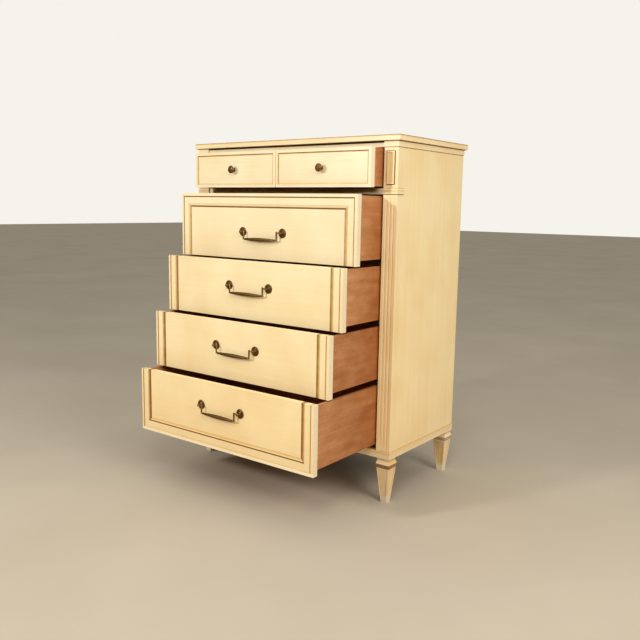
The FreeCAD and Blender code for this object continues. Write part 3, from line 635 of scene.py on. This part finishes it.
def stained_mahogany(number):
    """Mahogany veneer on a drawer box, stained red-brown and thinly sealed. The eye sees grain
    bands along the board, soft mottle, fine dark pores and dull gloss. The tone pales towards the
    front end and darkens towards the case, painted light and shade standing for the case's shade on
    the box. A pore of 0.2 mm is drawn 0.7 mm wide."""
    material, tree, place = start_material(f"stained_mahogany_{number}")
    front_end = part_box(f"drawer_{number}_side_right")[0].y
    figure = drawn_noise(tree, place, (14, 300, 11), 4.0)
    mottle = drawn_noise(tree, place, (26, 60, 26))
    pore = spread(tree, drawn_noise(tree, place, (0.8, 16, 0.7), 1.0), 0.60, 0.72)
    tone = maths(tree, "ADD", product(tree, [figure, 0.5]), product(tree, [mottle, 0.5]))
    tone = spread(tree, tone, 0.36, 0.64)
    depth = parts_of(tree, place)[DEEP]
    # Painted light and shade: paler at the box's front end, darker towards the case
    painted_light_share = maths(
        tree, "ADD", spread(tree, depth, front_end, CASE_FRONT, BOX_PAINTED_LIGHT[number], 0.0),
        spread(tree, drawn_noise(tree, place, (90, 120, 70), 2.0), 0.3, 0.7, -0.2, 0.2),
        use_clamp=True,
    )
    wood = mixed(tree, painted_light_share, ramp(tree, tone, STAIN), ramp(tree, tone, STAIN_PAINTED_LIT))
    end_material(
        tree, Base_Color=mixed(tree, product(tree, [pore, 0.3]), wood, srgb(PORE)), IOR=1.5,
        Normal=relief(tree, less(tree, figure, pore), 0.4, 0.08 * MM),
        Roughness=spread(tree, figure, 0.35, 0.65, 0.5, 0.62),
    )
    return material


def bare_wood(name, tones):
    """Wood of the hidden boards, planed, left raw and brown with age. The eye sees a dry brown
    with soft grain along the board and no gloss. The dust frames' tones are darker than raw poplar,
    as painted shade for the deep shade inside the case."""
    material, tree, place = start_material(name)
    figure = drawn_noise(tree, place, (320, 12, 12), 4.0)
    fibre = drawn_noise(tree, place, (40, 0.9, 0.9), 2.0)
    tone = maths(tree, "ADD", product(tree, [figure, 0.75]), product(tree, [fibre, 0.25]))
    end_material(
        tree, Base_Color=ramp(tree, spread(tree, tone, 0.36, 0.64), tones), IOR=1.5,
        Normal=relief(tree, fibre, 0.5, 0.08 * MM), Roughness=0.78,
    )
    return material


# Brass

# The patina's tones from its hollows to its rubbed places
PATINA = ((0.0, "#3D2A13"), (0.35, "#664A29"), (0.65, "#957548"), (1.0, "#C8A772"))
# How far flat places are rubbed, how much more a bulge is, and how much less than a knob the grip
# and the arms of a handle are
RUBBED_FLAT, RUBBED_BULGE = 0.32, 1.5
GRIP_KEPT, ARM_KEPT = 0.06, 0.3
# The smallest turn between faces that stays a crisp edge
CRISP_TURN = math.radians(38)
# Rotations of a turned form: straight out from the front, and level across it
OUTWARD, LEVEL = (math.pi / 2, 0, 0), (0, math.pi / 2, 0)

# Profiles, as (radius, distance from the front) in millimetres
KNOB_PROFILE = (
    (0, 0), (7.5, 0.01), (7.5, 1.3), (6.6, 2.0), (5.2, 2.02), (4.4, 3.6), (3.9, 6.6), (4.3, 10.2),
    (5.4, 11.4), (5.8, 12.4), (5.6, 13.1), (9.8, 14.0), (13.0, 15.4), (14.4, 17.2), (14.5, 18.6),
    (13.8, 19.8), (12.2, 20.5), (11.4, 20.51), (10.8, 20.52), (10.4, 21.1), (9.2, 21.9), (7.4, 22.3),
    (6.4, 22.31), (5.4, 22.32), (5.0, 23.1), (4.0, 23.5), (0, 23.6),
)
ROSETTE_PROFILE = (
    (0, 0), (17.2, 0.01), (17.2, 0.9), (16.8, 1.5), (15.9, 1.7), (15.1, 1.71), (14.6, 2.4),
    (13.6, 3.0), (12.6, 3.01), (12.0, 3.02), (10.8, 3.03), (9.4, 3.1), (8.4, 3.8), (6.6, 4.9),
    (5.0, 5.8), (4.2, 6.8), (3.8, 8.2), (4.3, 9.4), (4.6, 9.9), (4.2, 10.4), (4.2, 12.2),
    (4.85, 13.6), (5.0, 15.0), (4.85, 16.4), (4.2, 17.8), (3.0, 19.0), (1.5, 19.8), (0, 20.0),
)
# Half a grip and a whole pin, as (radius, distance from the middle) in millimetres
GRIP_PROFILE = (
    (0, -71.4), (3.4, -71.3), (4.4, -70.9), (4.4, -69.0), (3.5, -68.6), (3.2, -67.9), (3.7, -67.2),
    (4.0, -66.2), (4.5, -60), (5.2, -48), (5.9, -34), (6.5, -17), (6.8, 0),
)
PIN_PROFILE = ((0, -5.1), (2.1, -5.09), (2.1, 5.09), (0, 5.1))
# Radii of the CAD's knobs and rosettes, and how far from the front the handles' pins lie
KNOB_RADIUS, ROSETTE_RADIUS, PIN_STAND = 14.6 * MM, 17.2 * MM, 15 * MM
# A handle's parts in millimetres out from the middle between its pins: the pins, the arms' heads,
# the arms and their feet in the grip. Then how high the heads rise and how low the grip hangs
PIN_OUT, HEAD_OUT, ARM_OUT, FOOT_OUT = 92.3, 88.0, 79, 70.6
HEAD_UP, GRIP_DOWN = 4.3, 26
# The arms' square section, its arris and their bends, and how far out hands hold the grip
WIRE, WIRE_ARRIS, WIRE_BEND = 4.7 * MM, 0.9 * MM, 1.3 * MM
HELD = 68 * MM


def antique_brass():
    """Cast brass darkened with a brown patina and rubbed on its high places. The eye sees dark
    bronze in the hollows and dull yellow-brown highlights on rims and edges."""
    material, tree, place = start_material("antique_brass")
    rubbed = add(tree, "ShaderNodeAttribute", attribute_name="rubbed", out="Fac")
    mottle = drawn_noise(tree, place, (3.5, 3.5, 3.5))
    bright = maths(tree, "ADD", rubbed, spread(tree, mottle, 0.3, 0.7, -0.1, 0.1))
    end_material(
        tree, Base_Color=ramp(tree, bright, PATINA), Normal=relief(tree, mottle, 0.3, 0.06 * MM),
        Metallic=1.0, Roughness=spread(tree, bright, 0.0, 1.0, 0.5, 0.3),
    )
    return material


def start_form(name, inputs):
    """A Geometry Nodes tree with a geometry and the named inputs, and the sockets they come from."""
    tree = bpy.data.node_groups.new(name, "GeometryNodeTree")
    for given, kind in {"Geometry": "Geometry", **inputs}.items():
        tree.interface.new_socket(given, in_out="INPUT", socket_type=f"NodeSocket{kind}")
    tree.interface.new_socket("Geometry", in_out="OUTPUT", socket_type="NodeSocketGeometry")
    return tree, tree.nodes.new("NodeGroupInput").outputs


def end_form(tree, points, form, rotation, material):
    """Sets the form at each point and gives it its finish, as the tree's result."""
    row = {"Points": points, "Instance": form, "Rotation": rotation}
    row = add(tree, "GeometryNodeInstanceOnPoints", row)
    solid = add(tree, "GeometryNodeRealizeInstances", {"Geometry": row})
    solid = add(tree, "GeometryNodeSetMaterial", {"Geometry": solid, "Material": material})
    add(tree, "NodeGroupOutput", {"Geometry": solid})
    return tree


def rounded(tree, curve, radius, steps):
    """A curve with its corners rounded."""
    inputs = {"Curve": curve, "Radius": radius, "Limit Radius": True, "Count": steps}
    return add(tree, "GeometryNodeFilletCurve", inputs, mode="POLY")


def turned_tree():
    """Geometry Nodes: turns a profile round its own axis and sets the turned form in a row."""
    tree, given = start_form("turned_row", {
        "Steps Round": "Int", "Count": "Int", "Spacing": "Float", "First Place": "Vector",
        "Turn": "Vector", "Corner": "Float", "Finish": "Material",
    })
    curve = add(tree, "GeometryNodeMeshToCurve", {"Mesh": given["Geometry"]})
    curve = rounded(tree, curve, given["Corner"], 3)
    position = parts_of(tree, add(tree, "GeometryNodeInputPosition"))
    capture = add(tree, "GeometryNodeCaptureAttribute", {"Geometry": curve}).node
    capture.capture_items.new("FLOAT", "reach")
    tree.links.new(position[ACROSS], capture.inputs[1])
    on_axis = add(tree, "ShaderNodeCombineXYZ", {"Z": position[UP]})
    axis = add(tree, "GeometryNodeSetPosition", {"Geometry": capture.outputs[0], "Position": on_axis})
    ring = add(tree, "GeometryNodeCurvePrimitiveCircle", {
        "Resolution": given["Steps Round"], "Radius": 1.0,
    })
    form = add(tree, "GeometryNodeCurveToMesh", {
        "Curve": axis, "Profile Curve": ring, "Scale": capture.outputs[1],
    })
    form = add(tree, "GeometryNodeMergeByDistance", {"Geometry": form, "Distance": 0.02 * MM})
    places = add(tree, "GeometryNodeMeshLine", {
        "Count": given["Count"], "Start Location": given["First Place"],
        "Offset": add(tree, "ShaderNodeCombineXYZ", {"X": given["Spacing"]}),
    })
    return end_form(tree, places, form, given["Turn"], given["Finish"])


def bent_wire_tree():
    """Geometry Nodes: sweeps a rounded square section along a bent line, and sets a second one
    half a turn round, for the other end of the handle."""
    tree, given = start_form("bent_wire", {
        "Thickness": "Float", "Arris": "Float", "Bend": "Float", "Middle": "Vector",
        "Finish": "Material",
    })
    curve = add(tree, "GeometryNodeMeshToCurve", {"Mesh": given["Geometry"]})
    section = add(tree, "GeometryNodeCurvePrimitiveQuadrilateral", {
        "Width": given["Thickness"], "Height": given["Thickness"],
    })
    wire = add(tree, "GeometryNodeCurveToMesh", {
        "Curve": rounded(tree, curve, given["Bend"], 4),
        "Profile Curve": rounded(tree, section, given["Arris"], 3), "Fill Caps": True,
    })
    ends = add(tree, "GeometryNodeMeshLine", {
        "Count": 2, "Start Location": given["Middle"], "Offset": (0, 0, 0),
    })
    half_turn = product(tree, [add(tree, "GeometryNodeInputIndex"), math.pi])
    rotation = add(tree, "ShaderNodeCombineXYZ", {"Z": half_turn})
    return end_form(tree, ends, wire, rotation, given["Finish"])


def chain_mesh(name, points):
    """A mesh that is only the line through the points, given in millimetres."""
    mesh = bpy.data.meshes.new(name)
    corners = [Vector(p) * MM for p in points]
    mesh.from_pydata(corners, [(i, i + 1) for i in range(len(corners) - 1)], [])
    return mesh


def grown(name, mesh, tree, values):
    """The plain mesh that a Geometry Nodes tree makes from a mesh with the given values."""
    source = bpy.data.objects.new(name, mesh)
    bpy.context.scene.collection.objects.link(source)
    modifier = source.modifiers.new("grow", "NODES")
    modifier.node_group = tree
    for item in tree.interface.items_tree:
        if item.in_out == "INPUT" and item.name in values:
            modifier[item.identifier] = values[item.name]
    ready = source.evaluated_get(bpy.context.evaluated_depsgraph_get())
    result = bpy.data.meshes.new_from_object(ready)
    bpy.data.objects.remove(source)
    return result


def bulges(mesh):
    """How much the form stands out at each point, from how the normals turn along its edges."""
    normals = [v.normal.copy() for v in mesh.vertices]
    turned, met = [0.0] * len(normals), [0] * len(normals)
    for edge in mesh.edges:
        a, b = edge.vertices
        along = mesh.vertices[b].co - mesh.vertices[a].co
        if along.length > 0:
            turn = (normals[b] - normals[a]).dot(along) / along.length
            for end in (a, b):
                turned[end] += turn
                met[end] += 1
    return [total / max(count, 1) for total, count in zip(turned, met)]


def rub(mesh, held):
    """Writes how much hands have rubbed each point: more where the form stands out, and on a handle
    more on its grip than on its arms. Each point shares in the wear of those next to it."""
    raw = []
    for vertex, bulge in zip(mesh.vertices, bulges(mesh)):
        kept = 0.0
        if held:
            kept = GRIP_KEPT if abs(vertex.co.x) < held else ARM_KEPT
        raw.append(min(1.0, max(0.0, RUBBED_FLAT - kept + RUBBED_BULGE * bulge)))
    total, weight = list(raw), [1] * len(raw)
    for edge in mesh.edges:
        a, b = edge.vertices
        for point, neighbour in ((a, b), (b, a)):
            total[point] += raw[neighbour]
            weight[point] += 1
    layer = mesh.attributes.new("rubbed", "FLOAT", "POINT")
    layer.data.foreach_set("value", [t / w for t, w in zip(total, weight)])


def joined(name, meshes, material, held=0.0):
    """One object from several plain meshes, with its own wear and one finish. Hands hold it within
    that distance of its middle."""
    vertices, faces = [], []
    for mesh in meshes:
        start = len(vertices)
        vertices += [v.co.copy() for v in mesh.vertices]
        faces += [[start + i for i in p.vertices] for p in mesh.polygons]
    whole = bpy.data.meshes.new(name)
    whole.from_pydata(vertices, [], faces)
    whole.materials.append(material)
    whole.shade_smooth()
    whole.set_sharp_from_angle(angle=CRISP_TURN)
    rub(whole, held)
    thing = bpy.data.objects.new(name, whole)
    bpy.context.scene.collection.objects.link(thing)
    return thing


def set_row(tree, name, profile, places, turn, material):
    """A turned form set at one place, or at two places level with each other."""
    first, last = Vector(places[0]), Vector(places[-1])
    chain = chain_mesh(name, [(radius, 0, reach) for radius, reach in profile])
    return grown(name, chain, tree, {
        "Steps Round": 40, "Count": len(places), "Spacing": last.x - first.x,
        "First Place": first, "Turn": Vector(turn), "Corner": 0.35 * MM, "Finish": material,
    })


def set_pair(tree, node, profile, radius, material):
    """Two turned forms on a drawer front, at the places of a CAD pair that has that radius."""
    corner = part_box(node)[1]
    places = [(side * (corner.x - radius), corner.y, middle_of(node).z) for side in (-1, 1)]
    return set_row(tree, node, profile, places, OUTWARD, material)


def placed(piece, body, *replaced):
    """Lets the piece ride on its body and stand in for its CAD node, which it hides."""
    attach(piece, body)
    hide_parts(*replaced)


def knobs(tree, brass):
    """Two turned knobs with a ringed face on the top drawer."""
    name = "drawer_1_knobs"
    mesh = set_pair(tree, name, KNOB_PROFILE, KNOB_RADIUS, brass)
    placed(joined("turned_knobs", [mesh], brass), "drawer_1", name)


def posts(tree, brass, number):
    """Two ringed rosettes, each with a post that ends in a ball for the handle's pin."""
    name = f"drawer_{number}_pull_posts"
    mesh = set_pair(tree, name, ROSETTE_PROFILE, ROSETTE_RADIUS, brass)
    placed(joined(f"rosettes_{number}", [mesh], brass), f"drawer_{number}", name)


def handle(turned, bent, brass, number):
    """Hanging handle: pins, squared arms with crisp corners and a turned grip."""
    name, seat = f"drawer_{number}_bail", f"drawer_{number}_pull_posts"
    middle = Vector((0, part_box(seat)[1].y - PIN_STAND, middle_of(seat).z))
    arm = chain_mesh(name, (
        (HEAD_OUT, 0, 0), (ARM_OUT, 0, HEAD_UP), (ARM_OUT, 0, -GRIP_DOWN), (FOOT_OUT, 0, -GRIP_DOWN),
    ))
    arms = grown(name, arm, bent, {
        "Thickness": WIRE, "Arris": WIRE_ARRIS, "Bend": WIRE_BEND, "Middle": middle, "Finish": brass,
    })
    profile = GRIP_PROFILE + tuple((radius, -reach) for radius, reach in GRIP_PROFILE[-2::-1])
    grip_place = middle - Vector((0, 0, GRIP_DOWN * MM))
    grip = set_row(turned, name, profile, [grip_place], LEVEL, brass)
    pins = [
        set_row(turned, name, PIN_PROFILE, [middle + Vector((out * MM, 0, 0))], LEVEL, brass)
        for out in (-PIN_OUT, PIN_OUT)
    ]
    placed(joined(f"handle_{number}", [arms, grip, *pins], brass, HELD), f"bail_{number}", name)


def brasses():
    """Knobs, rosettes and handles in place of their plain CAD nodes."""
    brass = antique_brass()
    turned, bent = turned_tree(), bent_wire_tree()
    knobs(turned, brass)
    for number in WITH_HANDLES:
        posts(turned, brass, number)
        handle(turned, bent, brass, number)


# The case and the drawers

def finish(names, material, edge=0.0):
    """Gives CAD nodes their finish and eases their sharp edges by a real arris."""
    for name in names:
        node = NODES[name]
        node.material_slots[0].material = material
        if edge:
            weld = node.modifiers.new("weld", "WELD")
            weld.merge_threshold = WELD_REACH
            ease = node.modifiers.new("arris", "BEVEL")
            ease.width = edge
            ease.segments = 2
            ease.limit_method = "ANGLE"
            ease.angle_limit = ARRIS_TURN
            ease.miter_outer = "MITER_ARC"


def both_sides(*names):
    """The left and the right node of each named pair."""
    return [f"{name}_{side}" for name in names for side in ("left", "right")]


def dress_case():
    """The lacquered case: each part with strokes and glaze lines where a finisher leaves them, and
    painted shade on the rail under the top drawer and on the legs.
    """
    sides = cream_lacquer("cream_lacquer_sides", UPRIGHT, panel_glaze, SIDE_CREAM, 0.6, 0.5)
    finish(both_sides("side_panel"), sides, SOFT_ARRIS)
    rails = cream_lacquer("cream_lacquer_rails", LENGTHWISE, rail_glaze_and_shade)
    finish(["top_rail", "mid_rail"], rails, SOFT_ARRIS)
    finish(["top_board"], cream_lacquer("cream_lacquer_top", LENGTHWISE, top_glaze, TRIM_CREAM))
    mouldings = cream_lacquer(
        "cream_lacquer_mouldings", LENGTHWISE, moulding_glaze, TRIM_CREAM, height_light=0.7)
    finish([*both_sides("cornice", "band", "base"), "base_front"], mouldings)
    corner_posts = cream_lacquer("cream_lacquer_posts", UPRIGHT, post_glaze, POST_CREAM, 0.85, 0.7)
    finish(both_sides("front_post"), corner_posts)
    tablets = cream_lacquer("cream_lacquer_tablets", UPRIGHT, tablet_glaze, TABLET_CREAM)
    finish(both_sides("tablet"), tablets)
    legs = cream_lacquer("cream_lacquer_legs", UPRIGHT, leg_glaze, LEG_CREAM, 0.9, 0.4)
    finish(both_sides("leg_front", "leg_rear"), legs)
    finish(["back_panel"], bare_wood("bare_plywood", PLYWOOD), FINE_ARRIS)
    finish([f"dust_frame_{number}" for number in DRAWERS], bare_wood("poplar_darkened_as_shade", POPLAR_IN_PAINTED_SHADE))


def dress_drawers():
    """The drawer fronts, each with its own glaze lines and some with a painted highlight, and the
    stained boxes behind them, painted paler at their front ends.
    """
    for number in DRAWERS:
        name = f"drawer_{number}_front"
        low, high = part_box(name)
        if number in FRAMED:
            glaze = large_front_glaze(low, high, FRAMED[number], SLOPE_GLAZE[number])
        else:
            glaze = small_front_glaze(low, high)
        front = cream_lacquer(f"cream_lacquer_front_{number}", LENGTHWISE, glaze, streak=0.45)
        finish([name], front, FINE_ARRIS)
        mahogany = stained_mahogany(number)
        boards = [*both_sides(f"drawer_{number}_side"), f"drawer_{number}_back"]
        finish(boards, mahogany, SOFT_ARRIS)
        finish([f"drawer_{number}_bottom"], mahogany)


# Studio

# Softboxes: place, target, size, power and colour
SOFTBOXES = {
    "key": ((-1.25, -3.5, 2.05), (0, -0.2, 0.8), 0.36, 70, "#FFFCF6"),
    "front": ((1.5, -2.4, 2.5), (0, -0.2, 0.7), 0.9, 28, "#FFFDFA"),
    "side": ((4.2, -1.2, 2.7), (0.2, 0, 0.9), 2.2, 124, "#FFF9F0"),
}
# The camera that was solved from the photograph: its place, counted in depth from the chest's
# front, its turn, tilt and lean in degrees, and its focal length and the picture's width in pixels
CAMERA_PLACE = (1.7815, -2.15295, 1.05489)
CAMERA_ANGLES = (37.03, -8.79, 0.96)
FOCAL_PIXELS, PICTURE_PIXELS = 737.35, 640
SENSOR_WIDTH = 36


def pale_floor():
    """Plain matt floor of pale sealed concrete, so its tone drifts a little and nothing shines."""
    material, tree, place = start_material("pale_floor")
    drift = drawn_noise(tree, place, (900, 900, 900))
    colour = ramp(tree, spread(tree, drift, 0.3, 0.7), ((0.0, "#B2A795"), (1.0, "#BBB09E")))
    end_material(tree, Base_Color=colour, Roughness=0.85)
    mesh = bpy.data.meshes.new("floor")
    reach = 30.0
    corners = [(-reach, -reach, 0), (reach, -reach, 0), (reach, reach, 0), (-reach, reach, 0)]
    mesh.from_pydata(corners, [], [(0, 1, 2, 3)])
    mesh.materials.append(material)
    floor = bpy.data.objects.new("floor", mesh)
    bpy.context.scene.collection.objects.link(floor)


def soft_light(name, place, target, size, power, colour):
    """A square softbox at a place, aimed at a target."""
    light = bpy.data.lights.new(name, "AREA")
    light.shape = "SQUARE"
    light.size = size
    light.energy = power
    light.color = srgb(colour)[:3]
    lamp = bpy.data.objects.new(name, light)
    lamp.location = place
    aim = Vector(target) - Vector(place)
    lamp.rotation_euler = aim.to_track_quat("-Z", "Y").to_euler()
    bpy.context.scene.collection.objects.link(lamp)


def pale_air():
    """Air that is brightest overhead, as under a white ceiling, and evenly pale to the camera."""
    world = bpy.data.worlds.new("pale_air")
    world.use_nodes = True
    tree = world.node_tree
    tree.nodes.clear()
    seen = add(tree, "ShaderNodeLightPath", out="Is Camera Ray")
    height = parts_of(tree, add(tree, "ShaderNodeTexCoord", out="Generated"))[UP]
    strength = mixed(tree, seen, spread(tree, height, 0.25, 1.0, 0.0, 1.05), 0.98, "FLOAT")
    backing = add(tree, "ShaderNodeBackground", {"Color": srgb("#F8F5EE"), "Strength": strength})
    add(tree, "ShaderNodeOutputWorld", {"Surface": backing})
    bpy.context.scene.world = world


def studio():
    """A key light up to the left of the front, soft fills from the right, and pale air."""
    for name, (place, target, size, power, colour) in SOFTBOXES.items():
        soft_light(name, place, target, size, power, colour)
    pale_air()
    bpy.context.scene.view_settings.view_transform = "Standard"


def camera():
    """Stands to the right of the chest, level with its upper part, and looks down a little."""
    yaw, pitch, roll = (math.radians(angle) for angle in CAMERA_ANGLES)
    level = Vector((math.cos(yaw), math.sin(yaw), 0))
    ahead = Vector((-math.sin(yaw), math.cos(yaw), 0))
    forward = ahead * math.cos(pitch) + Vector((0, 0, math.sin(pitch)))
    rise = level.cross(forward)
    right = level * math.cos(roll) + rise * math.sin(roll)
    up = rise * math.cos(roll) - level * math.sin(roll)
    lens = bpy.data.cameras.new("camera")
    lens.sensor_width = SENSOR_WIDTH
    lens.lens = SENSOR_WIDTH * FOCAL_PIXELS / PICTURE_PIXELS
    stand = bpy.data.objects.new("camera", lens)
    place = Matrix.Translation(Vector(CAMERA_PLACE) + Vector((0, CASE_FRONT, 0)))
    stand.matrix_world = place @ Matrix((right, up, -forward)).transposed().to_4x4()
    bpy.context.scene.collection.objects.link(stand)
    bpy.context.scene.camera = stand


camera()
studio()
pale_floor()
dress_case()
dress_drawers()
brasses()
